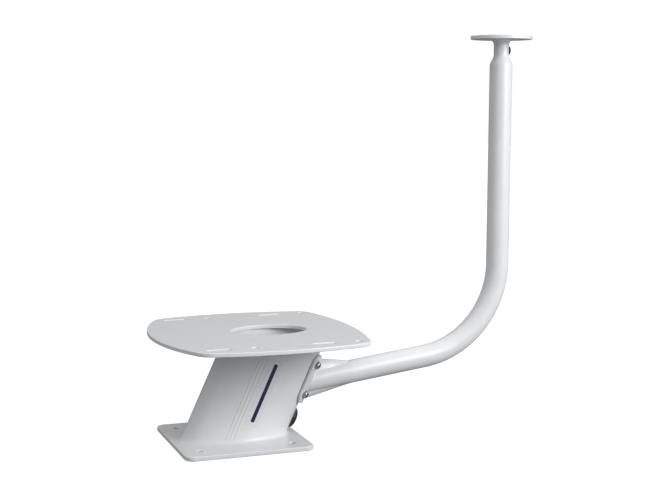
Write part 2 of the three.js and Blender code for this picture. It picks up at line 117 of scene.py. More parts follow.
LABEL = (-11, 7, 30, 126)             # from and to across the column, low and high up the lean
BAND = (-4.5, 0.8, 36, 120)           # the plain dark band printed on the label
FILM_LIFT = 0.02
FILM_THICK = 0.2
INK_THICK = 0.06

FOOT_S = 117
FOOT_LENGTH = 71
FOOT_HALF_ANGLE = math.radians(55)
FOOT_CORNER = 12
GASKET = (33.95, 35.45)               # inner and outer radius, sunk a little into both neighbours
FLANGE = (35.4, 39)
WEB_SINK = 6                          # the web's root: its depth, centre and half sizes
WEB_S = 110.7
WEB_HIGH = 33.4
WEB_WIDE = 11
BOLT_ANGLE = math.radians(41)
BOLT_STATIONS = (FOOT_S - 21.7, FOOT_S + 21.7)
WIRE_R = 10
WALL_HOLE_R = 12
GASKET_TRIM = 0.4
SOCKET_BACK = 100         # how far the foot's socket runs back inside the column
VOXEL = 0.7               # the foot is rebuilt as one skin of this grain, then smoothed
SMOOTHING = (0.5, 4)      # factor and repeats

BOLT_SHANK_R = 3
BOLT_CLEAR_R = 3.4
BOLT_HEAD_R = 5.1
BOLT_HEAD_H = 3.8
SOCKET_R = 2.3
SOCKET_DEPTH = 2.2
WASHER_R = 6
WASHER_T = 1.2
NUT_ACROSS = 10
NUT_H = 5
BOLT_TAIL = 1.4
HEAD_RIM = 0.3            # the share of a bolt head's height that is its upright rim
NUT_CHAMFER = 0.8
SEAT_GAP = 0.05           # under a foot washer, then under its bolt's head
HEAD_GAP = 0.02
INNER_SEAT = 1.5          # from the column's wall in to the inner washer
NUT_GAP = 0.3

ARM_SLOPE = math.atan(0.128)
ARM_RISE = 61.1                       # height of the low run's centre line over x = 0
ARM_START = 172
ARM_BEND_R = 132
TUBE_WALL = 2.7

CONE_TOP = 527
NECK_R = 10.7
NECK_WALL = 2.7
NECK_FILLET = 8
NECK_SPIGOT_R = 13.2
NECK_SPIGOT_LENGTH = 18
NECK_BORE_R = 5.5
NECK_HOLE_R = 4.5
DISC_EDGE = 0.6

LOWER_GROMMET_S = 57
LOWER_GROMMET_R = 15.5
LOWER_GROMMET_PROUD = 5
LOWER_GROMMET_STEM = (11.7, 14.3)     # radius of the stem and of the lip inside
NECK_GROMMET_Z = 535.6
NECK_GROMMET_R = 6.6
NECK_GROMMET_PROUD = 2.3
NECK_GROMMET_STEM = (4.2, 5.2)

FLOOR_R = 12000
FLOOR_DROP = 0.5
FLOOR_THICK = 1
FLOOR_GLOW = 0.95         # added to what is seen of the floor, and not to the light it gives back

# where the room's light comes from, and how strong it is there
ROOM_LIGHT = (((0, 0, 1), 0.86), ((1, 0, 0), 0.13), ((-1, 0, 0), 0.4))
KEY_AT = (1320, -1610, 1030)
KEY_TARGET = (150, 0, 100)
KEY_SIZE = 1400
KEY_POWER = 38            # watts

# ---------- camera ----------
CAMERA_AT = (-478.5, -1665.9, 464.6)
CAMERA_YAW = math.radians(20.54)
CAMERA_PITCH = math.radians(6.665)
CAMERA_ROLL = math.radians(0.256)
CAMERA_LENS = 69.5
CAMERA_CLIP_END = 100     # metres


# ---------- meshes ----------
def make_mesh(name, points, faces):
    """A mesh from points in millimetres, with its seams merged and its faces turned outwards."""
    mesh = bpy.data.meshes.new(name)
    mesh.from_pydata([Vector(p) * MM for p in points], [], faces)
    work = bmesh.new()
    work.from_mesh(mesh)
    bmesh.ops.remove_doubles(work, verts=work.verts, dist=MERGE * MM)
    bmesh.ops.recalc_face_normals(work, faces=work.faces)
    work.to_mesh(mesh)
    work.free()
    return mesh


def loft(name, rings, wrap=False, cap=False):
    """Faces between rings of equal length. wrap joins the last ring to the first; cap fills both ends."""
    count = len(rings[0])
    points = [p for ring in rings for p in ring]
    faces = []
    for k in range(len(rings) if wrap else len(rings) - 1):
        a = k * count
        b = (k + 1) % len(rings) * count
        for i in range(count):
            j = (i + 1) % count
            faces.append((a + i, a + j, b + j, b + i))
    if cap:
        faces.append(tuple(range(count)))
        faces.append(tuple(range(len(points) - count, len(points))))
    return make_mesh(name, points, faces)


def turned(name, profile, segments=96, wrap=False):
    """A body turned about Z from (radius, z) pairs that run from axis to axis, or close with wrap."""
    rings = []
    for r, z in profile:
        turn = [2 * math.pi * i / segments for i in range(segments)]
        rings.append([(r * math.cos(a), r * math.sin(a), z) for a in turn])
    return loft(name, rings, wrap=wrap)


def filleted(points, radii, closed=False, steps=5):
    """The points with each corner rounded by its radius; 0 leaves a corner sharp."""
    out = []
    count = len(points)
    for i, (point, radius) in enumerate(zip(points, radii)):
        here = Vector(point)
        ends = i in (0, count - 1) and not closed
        if ends or not radius:
            out.append(tuple(here))
            continue
        before = (Vector(points[i - 1]) - here).normalized()
        after = (Vector(points[(i + 1) % count]) - here).normalized()
        half = before.angle(after) / 2
        reach = radius / math.tan(half)
        centre = here + (before + after).normalized() * (radius / math.sin(half))
        start = here + before * reach - centre
        end = here + after * reach - centre
        for k in range(steps + 1):
            t = k / steps
            out.append(tuple(centre + start.lerp(end, t).normalized() * radius))
    return out


def prism(name, outline, low, high):
    """A closed outline of (x, y) pairs raised from low to high along Z."""
    rings = [[(x, y, z) for x, y in outline] for z in (low, high)]
    return loft(name, rings, cap=True)


def circle(x, y, a, b=None, steps=48, turn=1):
    """A round or an ellipse of (x, y) pairs, anticlockwise for turn 1 and clockwise for -1."""
    around = [turn * 2 * math.pi * i / steps for i in range(steps)]
    return [(x + a * math.cos(t), y + (b or a) * math.sin(t)) for t in around]


def rod(name, radius, low, high, steps=48):
    return prism(name, circle(0, 0, radius, steps=steps), low, high)


def placed(mesh, matrix):
    """The mesh moved by a matrix whose translation is in millimetres."""
    metres = matrix.copy()
    metres.translation *= MM
    mesh.transform(metres)
    return mesh


def evaluated(mesh, add_modifiers):
    """The mesh as it is after the modifiers that add_modifiers puts on it."""
    work = bpy.data.objects.new("work", mesh)
    bpy.context.scene.collection.objects.link(work)
    add_modifiers(work)
    done = bpy.data.meshes.new_from_object(work.evaluated_get(bpy.context.evaluated_depsgraph_get()))
    bpy.data.objects.remove(work)
    return done


def combined(mesh, tools, operation):
    """The mesh joined with the tool meshes, or cut by them."""
    helpers = []

    def add(work):
        for tool in tools:
            helper = bpy.data.objects.new("tool", tool)
            bpy.context.scene.collection.objects.link(helper)
            helpers.append(helper)
            modifier = work.modifiers.new("combine", "BOOLEAN")
            modifier.operation = operation
            modifier.solver = "EXACT"
            modifier.object = helper

    done = evaluated(mesh, add)
    for helper in helpers:
        bpy.data.objects.remove(helper)
    return done


def cut(mesh, *tools):
    return combined(mesh, tools, "DIFFERENCE")


def joined(mesh, *tools):
    return combined(mesh, tools, "UNION")


def largest_island(mesh):
    """The mesh's largest connected part alone, without specks left along a cutter's skin."""
    work = bmesh.new()
    work.from_mesh(mesh)
    work.verts.ensure_lookup_table()
    seen = set()
    islands = []
    for seed in range(len(work.verts)):
        if seed in seen:
            continue
        seen.add(seed)
        island = [seed]
        for index in island:
            vert = work.verts[index]
            for convex_edge_mask in vert.link_edges:
                other = convex_edge_mask.other_vert(vert).index
                if other not in seen:
                    seen.add(other)
                    island.append(other)
        islands.append(island)
    keep = set(max(islands, key=len))
    specks = [vert for vert in work.verts if vert.index not in keep]
    bmesh.ops.delete(work, geom=specks, context="VERTS")
    work.to_mesh(mesh)
    work.free()
    return mesh


# ---------- materials ----------
class Nodes:
    """A material's node tree, with short calls for the nodes that the finishes share."""

    def __init__(self, name):
        self.material = bpy.data.materials.new(name)
        self.material.use_nodes = True
        self.tree = self.material.node_tree
        self.shader = self.tree.nodes["Principled BSDF"]
        self.place = self.tree.nodes.new("ShaderNodeTexCoord").outputs["Object"]

    def node(self, kind, **inputs):
        made = self.tree.nodes.new(kind)
        for name, value in inputs.items():
            made.inputs[name.replace("_", " ")].default_value = value
        return made

    def link(self, output, target):
        self.tree.links.new(output, target)

    def noise(self, per_metre, detail=2.0):
        made = self.node("ShaderNodeTexNoise", Scale=per_metre, Detail=detail)
        self.link(self.place, made.inputs["Vector"])
        return made.outputs["Fac"]

    def ramp(self, fac, *stops):
        """A colour ramp with (position, colour) stops; a bare number is a grey."""
        made = self.node("ShaderNodeValToRGB")
        ramp = made.color_ramp
        while len(ramp.elements) < len(stops):
            ramp.elements.new(0.5)
        for element, (position, colour) in zip(ramp.elements, stops):
            element.position = position
            grey = isinstance(colour, (int, float))
            element.color = (colour, colour, colour, 1) if grey else (*colour, 1)
        self.link(fac, made.inputs["Fac"])
        return made.outputs["Color"]

    def bump(self, height, strength, depth):
        made = self.node("ShaderNodeBump", Strength=strength, Distance=depth * MM)
        self.link(height, made.inputs["Height"])
        self.link(made.outputs["Normal"], self.shader.inputs["Normal"])
        return made

    def set(self, **inputs):
        for name, value in inputs.items():
            self.shader.inputs[name.replace("_", " ")].default_value = value


def powder_coat():
    """White gloss powder coat: fine orange peel, a faint mottle, and a painted highlight that makes convex
    edges slightly brighter.
    """
    n = Nodes("white_powder_coat")
    mottle = n.ramp(n.noise(45, 3), (0.3, (0.735, 0.75, 0.765)), (0.7, (0.77, 0.782, 0.795)))
    # painted highlight: where pointiness marks a convex edge, the colour is mixed a little towards a brighter
    # white
    convex_edge_mask = n.ramp(n.tree.nodes.new("ShaderNodeNewGeometry").outputs["Pointiness"], (0.5, 0.0), (0.62, 1.0))
    mix = n.node("ShaderNodeMix")
    mix.data_type = "RGBA"
    painted_edge_highlight = n.node("ShaderNodeMath", Value=0.5)
    painted_edge_highlight.operation = "MULTIPLY"
    painted_edge_highlight.inputs[1].default_value = 0.35
    n.link(convex_edge_mask, painted_edge_highlight.inputs[0])
    n.link(painted_edge_highlight.outputs["Value"], mix.inputs["Factor"])
    n.link(mottle, mix.inputs["A"])
    mix.inputs["B"].default_value = (0.86, 0.87, 0.88, 1)
    n.link(mix.outputs["Result"], n.shader.inputs["Base Color"])
    n.link(n.ramp(n.noise(160, 2), (0.3, 0.3), (0.7, 0.4)), n.shader.inputs["Roughness"])
    n.bump(n.noise(620, 2), 0.16, 0.06)
    n.set(Coat_Weight=0.25, Coat_Roughness=0.22, Specular_IOR_Level=0.5)
    return n.material


def turned_steel():
    """Stainless steel with fine turning rings round each fastener's own axis."""
    n = Nodes("stainless_steel")
    rings = n.node("ShaderNodeTexWave", Scale=1500, Distortion=1.2, Detail=2.0)
    rings.wave_type = "RINGS"
    rings.rings_direction = "Z"
    n.link(n.place, rings.inputs["Vector"])
    steel = n.ramp(n.noise(900, 3), (0.3, (0.42, 0.425, 0.43)), (0.7, (0.56, 0.565, 0.57)))
    n.link(steel, n.shader.inputs["Base Color"])
    n.link(n.ramp(rings.outputs["Fac"], (0.0, 0.2), (1.0, 0.34)), n.shader.inputs["Roughness"])
    n.bump(rings.outputs["Fac"], 0.1, 0.01)
    n.set(Metallic=1.0, Anisotropic=0.5)
    return n.material


def rubber(name, dark, light, grain):
    """Moulded rubber: a fine grain, with dustier lighter spots."""
    n = Nodes(name)
    n.link(n.ramp(n.noise(130, 4), (0.35, dark), (0.75, light)), n.shader.inputs["Base Color"])
    n.link(n.ramp(n.noise(400, 2), (0.3, 0.42), (0.7, 0.6)), n.shader.inputs["Roughness"])
    n.bump(n.noise(grain, 3), 0.25, 0.04)
    n.set(Specular_IOR_Level=0.4)
    return n.material


def vinyl(name, colour, variation):
    """Printed label film: smooth and glossy, with a faint unevenness of the ink."""
    n = Nodes(name)
    lighter = tuple(min(1, c + variation) for c in colour)
    n.link(n.ramp(n.noise(220, 4), (0.3, colour), (0.7, lighter)), n.shader.inputs["Base Color"])
    n.link(n.ramp(n.noise(500, 2), (0.3, 0.2), (0.7, 0.3)), n.shader.inputs["Roughness"])
    n.bump(n.noise(700, 1), 0.05, 0.02)
    n.set(Coat_Weight=0.2, Coat_Roughness=0.1)
    return n.material


PAINT = powder_coat()
STEEL = turned_steel()
BLACK_RUBBER = rubber("black_rubber", (0.012, 0.012, 0.013), (0.03, 0.03, 0.032), 1400)
GREY_RUBBER = rubber("grey_rubber", (0.32, 0.325, 0.33), (0.39, 0.395, 0.4), 900)
LABEL_FILM = vinyl("label_film", (0.74, 0.75, 0.79), 0.03)
LABEL_INK = vinyl("label_ink", (0.012, 0.016, 0.05), 0.008)


# ---------- pieces ----------
def add_piece(name, mesh, material, slot, nodes=(), crease=38, matrix=None, flat=False):
    """Puts a finished mesh in the scene on the body, in place of the CAD nodes that it stands for."""
    mesh.materials.clear()
    mesh.materials.append(material)
    mesh.shade_smooth()
    mesh.set_sharp_from_angle(angle=math.radians(crease))
    piece = bpy.data.objects.new(name, mesh)
    bpy.context.scene.collection.objects.link(piece)
    if matrix is not None:
        metres = matrix.copy()
        metres.translation *= MM
        piece.matrix_world = metres
    if flat:
        weighted = piece.modifiers.new("even_flats", "WEIGHTED_NORMAL")
        weighted.keep_sharp = True
    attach(piece, BODY)
    if nodes:
        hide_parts(*nodes)
    return piece


def painted(node, mesh, **options):
    return add_piece(f"{node}_fine", mesh, PAINT, "white_paint", [node], **options)


# ---------- plates ----------
def plate(name, loops, low, high, ease, steps=4):
    """A plate with rounded edges. Its outline runs anticlockwise and its openings clockwise."""
    quarter = [math.pi / 2 * k / steps for k in range(steps + 1)]
    section = [(ease * (1 - math.sin(a)), low + ease * (1 - math.cos(a))) for a in quarter]
    section += [(ease * (1 - math.cos(a)), high - ease + ease * math.sin(a)) for a in quarter]
    points = []
    faces = []
    under = []
    over = []
    for loop in loops:
        count = len(loop)
        start = len(points)
        inward = []
        for i in range(count):
            (x0, y0), (x1, y1) = loop[i - 1], loop[(i + 1) % count]
            inward.append(Vector((y0 - y1, x1 - x0)).normalized())
        for inset, z in section:
            points += [(x + d.x * inset, y + d.y * inset, z) for (x, y), d in zip(loop, inward)]
        for k in range(len(section) - 1):
            a = start + k * count
            for i in range(count):
                j = (i + 1) % count
                faces.append((a + i, a + j, a + count + j, a + count + i))
        under.append(range(start, start + count))
        over.append(range(len(points) - count, len(points)))
    for rims in (under, over):
        order = [index for rim in rims for index in rim]
        flat = [[Vector((points[i][0], points[i][1], 0)) for i in rim] for rim in rims]
        faces += [tuple(order[i] for i in triangle) for triangle in tessellate_polygon(flat)]
    return make_mesh(name, points, faces)


def rounded_rectangle(half_x, half_y, radius, steps=14):
    out = []
    for quarter, (sx, sy) in enumerate(((1, 1), (-1, 1), (-1, -1), (1, -1))):
        for k in range(steps + 1):
            a = math.pi / 2 * (quarter + k / steps)
            x = sx * (half_x - radius) + radius * math.cos(a)
            out.append((x, sy * (half_y - radius) + radius * math.sin(a)))
    return out


def slot_outline(x, y, length, width, steps=14):
    """A clockwise slot that runs fore and aft."""
    radius = width / 2
    half = length / 2 - radius
    out = []
    for side in (1, -1):
        for k in range(steps + 1):
            a = math.pi / 2 * side - math.pi * k / steps
            out.append((x + side * half + radius * math.cos(a), y + radius * math.sin(a)))
    return out


def bulged_arc(start, end, bulge, cut_start, cut_end, steps=56):
    """Points of the arc from start to end that bulges to the right of its travel, cut short at both ends."""
    a, b = Vector(start), Vector(end)
    chord = b - a
    radius = (chord.length ** 2 / 4 + bulge ** 2) / (2 * bulge)
    right = Vector((chord.y, -chord.x)).normalized()
    centre = (a + b) / 2 + right * (bulge - radius)
    angle_a = math.atan2(a.y - centre.y, a.x - centre.x)
    angle_b = math.atan2(b.y - centre.y, b.x - centre.x)
    turn = (angle_b - angle_a) % (2 * math.pi)
    first = angle_a + cut_start / radius
    last = angle_a + turn - cut_end / radius
    between = [first + (last - first) * k / steps for k in range(steps + 1)]
    return [(centre.x + radius * math.cos(t), centre.y + radius * math.sin(t)) for t in between]


def rounded_by(start, corner, end, steps=12):
    """Points between start and end of the quadratic curve that the corner pulls."""
    out = []
    for k in range(1, steps):
        t = k / steps
        p = Vector(start) * (1 - t) ** 2 + Vector(corner) * (2 * t * (1 - t)) + Vector(end) * t ** 2
        out.append(tuple(p))
    return out


def radar_outline():
    """The radar plate's outline, anticlockwise: four bulged sides and four rounded corners."""
    (fx, fy), (ax, ay) = FRONT_CORNER, AFT_CORNER
    aft_bulge = PLATE_HIGH.x - ax
    front_bulge = fx - PLATE_LOW.x
    corners = [((fx, -fy), FRONT_CUT), ((ax, -ay), AFT_CUT), ((ax, ay), AFT_CUT), ((fx, fy), FRONT_CUT)]
    bulges = [SIDE_BULGE, aft_bulge, SIDE_BULGE, front_bulge]
    sides = []
    for i, bulge in enumerate(bulges):
        (a, cut_a), (b, cut_b) = corners[i], corners[(i + 1) % 4]
        sides.append(bulged_arc(a, b, bulge, cut_a, cut_b))
    out = []
    for i, side in enumerate(sides):
        following = sides[(i + 1) % 4]
        out += side + rounded_by(side[-1], corners[(i + 1) % 4][0], following[0])
    # finer steps than the CAD's reach a hair past its facets, so they stop at its box
    return [(x, max(PLATE_LOW.y, min(PLATE_HIGH.y, y))) for x, y in out]


def radar_plate():
    x, a, b = CABLE_HOLE
    loops = [radar_outline(), circle(x, 0, a, b, steps=112, turn=-1)]
    for y in (-ROW_Y, ROW_Y):
        loops += [slot_outline(slot_x, y, SLOT_LENGTH, SLOT_WIDTH) for slot_x in SLOT_XS]
        loops += [circle(hole_x, y, HOLE_R, steps=32, turn=-1) for hole_x in HOLE_XS]
    return plate("radar_plate", loops, PLATE_UNDER, HEIGHT, RADAR_EDGE)


def base_plate():
    loops = [rounded_rectangle(BASE_HIGH.x, BASE_HIGH.y, BASE_CORNER)]
    loops.append(circle(BASE_CABLE_X, 0, BASE_CABLE_R, steps=64, turn=-1))
    for x in (-BASE_BOLT, BASE_BOLT):
        loops += [circle(x, y, BASE_BOLT_R, steps=32, turn=-1) for y in (-BASE_BOLT, BASE_BOLT)]
    return plate("base_plate", loops, BASE_LOW.z, BASE_TOP, BASE_EDGE)


# ---------- column ----------
LEAN_FRAME = Matrix.Rotation(LEAN, 4, "Y")


def side_arc():
    """Centre of the +Y side's arc, and the angles where it meets the aft and the nose round."""
    span = AFT_X - NOSE_X
    to_nose = SIDE_R - NOSE_R
    to_aft = SIDE_R - AFT_R
    x = NOSE_X + (to_nose ** 2 - to_aft ** 2 + span ** 2) / (2 * span)
    y = -math.sqrt(to_nose ** 2 - (x - NOSE_X) ** 2)
    return x, y, math.atan2(-y, AFT_X - x), math.atan2(-y, NOSE_X - x)


SIDE_X, SIDE_Y, AFT_ANGLE, NOSE_ANGLE = side_arc()


def side_edge(x, grow=0.0):
    """How far the column's side stands from Y = 0 at x in the lean frame."""
    return SIDE_Y + math.sqrt((SIDE_R + grow) ** 2 - (x - SIDE_X) ** 2)


def groove_depth(x):
    """A smooth dip at each groove."""
    for middle in GROOVES:
        off = abs(x - middle) / (GROOVE_WIDTH / 2)
        if off < 1:
            return GROOVE_DEPTH * (1 + math.cos(math.pi * off)) / 2
    return 0.0


def column_outline(grow=0.0, grooves=False):
    """The column's section square to the lean, grown outwards, as (x, y) pairs."""
    half = []
    for k in range(ROUND_STEPS):
        a = AFT_ANGLE * k / ROUND_STEPS
        half.append((AFT_X + (AFT_R + grow) * math.cos(a), (AFT_R + grow) * math.sin(a)))
    from_x = AFT_X + (AFT_R + grow) * math.cos(AFT_ANGLE)
    to_x = NOSE_X + (NOSE_R + grow) * math.cos(NOSE_ANGLE)
    steps = round((from_x - to_x) / (GROOVE_WIDTH / GROOVE_STEPS)) if grooves else SIDE_STEPS
    for k in range(steps):
        x = from_x + (to_x - from_x) * k / steps
        half.append((x, side_edge(x, grow) - (groove_depth(x) if grooves else 0)))
    for k in range(ROUND_STEPS):
        a = NOSE_ANGLE + (math.pi - NOSE_ANGLE) * k / ROUND_STEPS
        half.append((NOSE_X + (NOSE_R + grow) * math.cos(a), (NOSE_R + grow) * math.sin(a)))
    nose = [(NOSE_X - NOSE_R - grow, 0)]
    return half + nose + [(x, -y) for x, y in reversed(half[1:])]


def level_ring(outline, z):
    """Where a bar of that outline, running up the lean, crosses height z."""
    return [(x / math.cos(LEAN) + z * math.tan(LEAN), y, z) for x, y in outline]


def aft_frame(angle, s):
    """A frame on the aft round: Z points out of it, X runs along Y, at angle from straight aft."""
    along = (-math.sin(angle), math.cos(angle), 0)
    out = (math.cos(angle), math.sin(angle), 0)
    basis = Matrix((along, (0, 0, 1), out)).transposed().to_4x4()
    return LEAN_FRAME @ Matrix.Translation((AFT_X, 0, s)) @ basis


def tower_column():
    low = BASE_TOP - SKIN
    high = PLATE_UNDER + SKIN
    outer = column_outline(0, grooves=True)
    inner = column_outline(-WALL)
    shell = loft("tower_column", [level_ring(outer, low), level_ring(outer, high)], cap=True)
    bore = loft("bore", [level_ring(inner, low - 5), level_ring(inner, high + 5)], cap=True)
    wire = placed(rod("wire", WALL_HOLE_R, 20, 40), aft_frame(0, FOOT_S))
    return cut(shell, bore, wire)


def weld(name, plate_z, up):
    """A concave fillet bead round the column, with the faint ripple of a painted weld."""
    section = [(-0.4, -0.2), (WELD_LEG + 0.5, -0.2)]
    for k in range(9):
        a = math.pi / 2 * k / 8
        section.append((WELD_LEG * (1 - math.sin(a)) + 0.1, WELD_RISE * (1 - math.cos(a)) + 0.05))
    section.append((-0.4, WELD_RISE + 0.35))
    count = len(column_outline())
    ripple = [1 + WELD_SWELL * math.sin(2 * math.pi * WELD_WAVES * i / count) for i in range(count)]
    rings = []
    for grow, height in section:
        z = plate_z + up * height
        here = column_outline(0)
        there = column_outline(grow)
        ring = []
        for (x0, y0), (x1, y1), swell in zip(here, there, ripple):
            ring.append((x0 + (x1 - x0) * swell, y0 + (y1 - y0) * swell))
        rings.append(level_ring(ring, z))
    return loft(name, rings, wrap=True)


# ---------- wrapped sheets ----------
def sheet_columns(low, high, half_length, corner, steps):
    """(position, half length) of the columns that make a rectangle with rounded corners."""
    rows = [low + (high - low) * k / steps for k in range(steps + 1)]
    turn = [corner * (1 - math.cos(math.pi / 2 * k / 8)) for k in range(9)]
    edges = [low + d for d in turn] + [high - d for d in turn]
    inner = [u for u in rows if low + corner < u < high - corner]
    out = []
    for u in sorted(set(edges + inner)):
        deep = max(0.0, corner - min(u - low, high - u))
        out.append((u, half_length - corner + math.sqrt(max(0.0, corner ** 2 - deep ** 2))))
    return out


def wrapped_sheet(name, columns, middle, under, over):
    """A closed sheet from columns along s; under and over map (position, s) to the two faces."""
    rings = []
    for u, half in columns:
        low, high = middle - half, middle + half
        rings.append([under(u, low), under(u, high), over(u, high), over(u, low)])
    return placed(loft(name, rings, cap=True), LEAN_FRAME)


def side_patch(name, side, extent, grow, thick, corner):
    """A thin patch on the column's side."""
    x0, x1, low, high = extent

    def at(lift):
        return lambda x, s: (x, side * side_edge(x, lift), s)

    columns = sheet_columns(x0, x1, (high - low) / 2, corner, 12)
    return wrapped_sheet(name, columns, (low + high) / 2, at(grow), at(grow + thick))


def saddle(name, r0, r1, trim=0.0):
    """The foot's curved flange, or the gasket under it, between two radii of the aft round."""
    reach = FOOT_HALF_ANGLE * r1 - trim

    def at(radius):
        return lambda u, s: (AFT_X + radius * math.cos(u / r1), radius * math.sin(u / r1), s)

    columns = sheet_columns(-reach, reach, FOOT_LENGTH / 2 - trim, FOOT_CORNER, 48)
    return wrapped_sheet(name, columns, FOOT_S, at(r0), at(r1))


# ---------- arm ----------
ARM_DIRECTION = Vector((math.cos(ARM_SLOPE), 0, math.sin(ARM_SLOPE)))


def on_arm(x):
    return Vector((x, 0, ARM_RISE + x * math.tan(ARM_SLOPE)))


def arm_frame(at):
    """Z runs out along the arm's low run."""
    side = Vector((0, 1, 0))
    across = side.cross(ARM_DIRECTION)
    basis = Matrix((across, side, ARM_DIRECTION)).transposed().to_4x4()
    return Matrix.Translation(at) @ basis


def foot_web(sides=72):
    """The foot's upright web, lofted from a tall ellipse on the column to the arm's round, kept narrow."""
    lean = LEAN_FRAME.to_3x3()
    root = (LEAN_FRAME @ Vector((AFT_X + FLANGE[0] - WEB_SINK, 0, WEB_S)), lean @ Vector((0, 0, 1)), WEB_HIGH)
    end = (on_arm(ARM_START), ARM_DIRECTION.cross(Vector((0, 1, 0))), TUBE_R)
    rings = []
    for centre, up, high in (root, end):
        turn = [2 * math.pi * i / sides for i in range(sides)]
        wide = Vector((0, WEB_WIDE, 0))
        rings.append([centre + up * (high * math.cos(a)) + wide * math.sin(a) for a in turn])
    return loft("web", rings, cap=True)


def bolt_rods(radius, low, high):
    """A rod at each foot bolt, square to the aft round."""
    places = [(angle, s) for angle in (-BOLT_ANGLE, BOLT_ANGLE) for s in BOLT_STATIONS]
    return [placed(rod("rod", radius, low, high), aft_frame(angle, s)) for angle, s in places]


def arm_foot():
    """One casting: flange, upright web and the arm's socket blended, with a bore for the wires."""
    at = arm_frame(on_arm(ARM_START))
    socket = placed(rod("socket", TUBE_R, -SOCKET_BACK, 0, steps=96), at)
    bore = placed(rod("bore", WIRE_R, -SOCKET_BACK - 20, 60), at)
    column = prism("column", column_outline(FLANGE[0] - AFT_R), 0, 260)
    body = joined(foot_web(), socket, saddle("flange", *FLANGE))
    body = cut(body, placed(column, LEAN_FRAME), bore)
    body = cut(body, *bolt_rods(BOLT_CLEAR_R, 20, FLANGE[1] + 1))

    def soften(work):
        remesh = work.modifiers.new("one_skin", "REMESH")
        remesh.mode = "VOXEL"
        remesh.voxel_size = VOXEL * MM
        smooth = work.modifiers.new("cast_edges", "SMOOTH")
        smooth.factor, smooth.iterations = SMOOTHING

    return largest_island(evaluated(body, soften))    # the voxel step leaves specks by the column


def arm_path():
    """(point, direction) along the tube's centre line: low run, bend and upright."""
    turn = math.pi / 2 - ARM_SLOPE
    tangent = ARM_BEND_R * math.tan(turn / 2)
    corner = on_arm(ARM_X)
    low_end = corner - ARM_DIRECTION * tangent
    bend_z = corner.z + tangent
    centre = Vector((ARM_X - ARM_BEND_R, 0, bend_z))
    start = on_arm(ARM_START) - ARM_DIRECTION * 0.5
    path = [(start.lerp(low_end, k / 8), ARM_DIRECTION) for k in range(8)]
    bend_steps = 64
    for k in range(bend_steps + 1):
        a = -turn * (1 - k / bend_steps)
        out = Vector((math.cos(a), 0, math.sin(a)))
        path.append((centre + out * ARM_BEND_R, Vector((-out.z, 0, out.x))))
    top = Vector((ARM_X, 0, TUBE_TOP))
    bend_end = path[-1][0]
    path += [(bend_end.lerp(top, k / 8), Vector((0, 0, 1))) for k in range(1, 9)]
    return path


def arm_tube(sides=96):
    rings = []
    path = arm_path()
    side = Vector((0, 1, 0))
    for radius, stations in ((TUBE_R, path), (TUBE_R - TUBE_WALL, path[::-1])):
        for point, direction in stations:
            across = side.cross(direction)
            ring = []
            for i in range(sides):
                a = 2 * math.pi * i / sides
                ring.append(point + across * (radius * math.cos(a)) + side * (radius * math.sin(a)))
            rings.append(ring)
    return loft("arm_tube", rings, wrap=True)


# ---------- neck and disc ----------
def neck_reducer():
    spigot_end = TUBE_TOP - NECK_SPIGOT_LENGTH
    seat = TUBE_TOP - 0.1
    top = CONE_TOP + 0.4
    profile = [(NECK_BORE_R, spigot_end), (NECK_SPIGOT_R, spigot_end), (NECK_SPIGOT_R, seat), (TUBE_R, seat),
               (TUBE_R - 0.4, TUBE_TOP + 1.6), (NECK_R + 0.5, CONE_TOP - 0.8), (NECK_R, top),
               (NECK_BORE_R, top)]
    radii = [0, 0, 0, 0.1, 1.2, 1.0, 0.3, 0]
    return turned("neck_reducer", filleted(profile, radii, closed=True), wrap=True)


def neck_pipe():
    low = CONE_TOP + 0.3
    high = DISC_LOW.z + SKIN
    bore = NECK_R - NECK_WALL
    pipe = turned("neck_pipe", [(bore, low), (NECK_R, low), (NECK_R, high), (bore, high)], wrap=True)
    sideways = Matrix.Translation((0, 0, NECK_GROMMET_Z)) @ Matrix.Rotation(math.pi / 2, 4, "Y")
    return cut(pipe, placed(rod("hole", NECK_HOLE_R, 0, NECK_R + 2), sideways))


def neck_weld():
    """The concave fillet between the neck and the disc."""
    top = DISC_LOW.z + SKIN
    low = top - NECK_FILLET
    curve = []
    for k in range(13):
        a = math.pi / 2 * k / 12
        curve.append((NECK_R + NECK_FILLET * (1 - math.cos(a)) + SKIN, top - NECK_FILLET * (1 - math.sin(a))))
    return turned("neck_weld", [(NECK_R - 0.3, low - 0.4), *curve, (NECK_R - 0.3, top)], wrap=True)


def antenna_disc():
    low, high = DISC_LOW.z, DISC_HIGH.z
    profile = [(0, low), (DISC_HIGH.y, low), (DISC_HIGH.y, high), (0, high)]
    return turned("antenna_disc", filleted(profile, [0, DISC_EDGE, DISC_EDGE, 0]), segments=160)


# ---------- grommets ----------
def grommet(name, radius, proud, stem_r, lip_r, wall_r, wall):
    """A domed plug in a round wall: its head outside, its stem through the wall and its lip inside."""
    rim = wall_r - radius * 0.36
    top = wall_r + proud
    dome = [(0, rim), (radius, rim), (radius, wall_r + proud * 0.1), (radius * 0.86, wall_r + proud * 0.82),
            (radius * 0.5, top), (0, top)]
    head = turned(name, filleted(dome, [0, 0.3, proud * 0.3, proud * 0.6, proud * 0.5, 0], steps=8))
    inside = wall_r - wall
    low = inside - 2.4
    high = rim + 1
    stem = [(0, low), (lip_r, low), (lip_r, inside - 0.4), (stem_r, inside), (stem_r, high), (0, high)]
    return joined(head, turned("stem", filleted(stem, [0, 0.5, 0.4, 0.2, 0, 0])))


# ---------- fasteners, each along +Z with its seat at z = 0 ----------
def hexagon(across):
    corner = across / math.sqrt(3)
    return [(corner * math.cos(math.pi / 3 * i), corner * math.sin(math.pi / 3 * i)) for i in range(6)]


